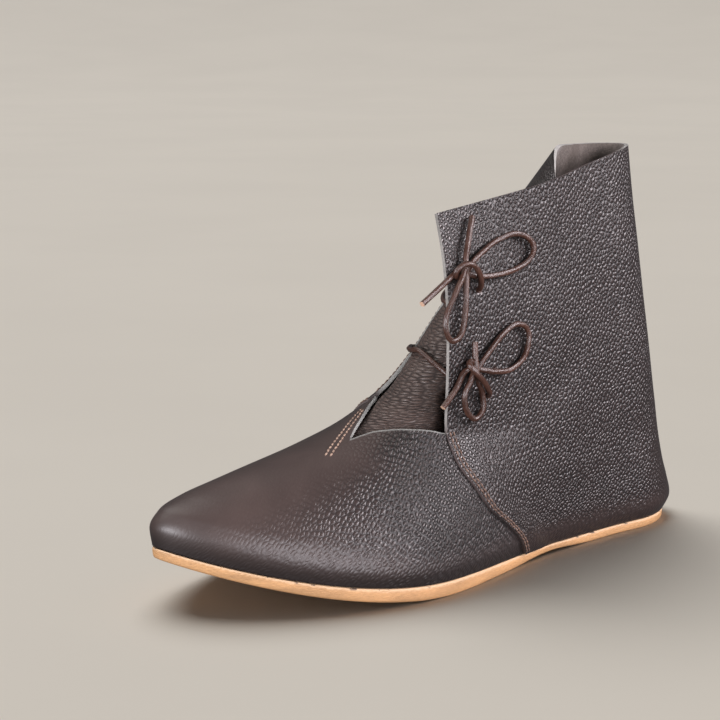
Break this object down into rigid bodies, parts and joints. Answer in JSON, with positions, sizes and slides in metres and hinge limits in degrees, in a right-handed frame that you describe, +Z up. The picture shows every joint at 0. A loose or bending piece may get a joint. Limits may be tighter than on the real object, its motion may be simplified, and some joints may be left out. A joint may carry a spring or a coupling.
{
  "type": "lace-up ankle boot",
  "caption": "Left leather ankle boot of turn-shoe make with a pointed toe, thin flat sole, wrapped tongue and a standing side flap tied with leather thong bows.",
  "frame": {"origin": "on the floor under the middle of the boot's box", "axes": "+X from heel to toe, +Y to the wearer's left, which is the outer side with the flap, +Z up"},
  "size_m": [0.2796, 0.0994, 0.173],
  "materials": {
    "upper_leather": "pebbled, satin",
    "tongue_leather": "pebbled, satin",
    "sole_leather": "natural, smooth cut edge",
    "insole_leather": "flesh side, matt",
    "lace_leather": "cut thong, satin"
  },
  "bodies": {
    "root": {"outsole": "sole_leather", "insole": "insole_leather", "upper": "upper_leather", "tongue": "tongue_leather", "lace_bar_1": "lace_leather", "lace_bar_2": "lace_leather", "lace_bar_3": "lace_leather", "lace_bar_4": "lace_leather", "lace_upper_knot": "lace_leather", "lace_upper_loop_back": "lace_leather", "lace_upper_loop_down": "lace_leather", "lace_upper_end_up": "lace_leather", "lace_upper_end_front": "lace_leather", "lace_lower_knot": "lace_leather", "lace_lower_loop_back": "lace_leather", "lace_lower_loop_down": "lace_leather", "lace_lower_end_up": "lace_leather", "lace_lower_end_front": "lace_leather"}
  },
  "joints": []
}
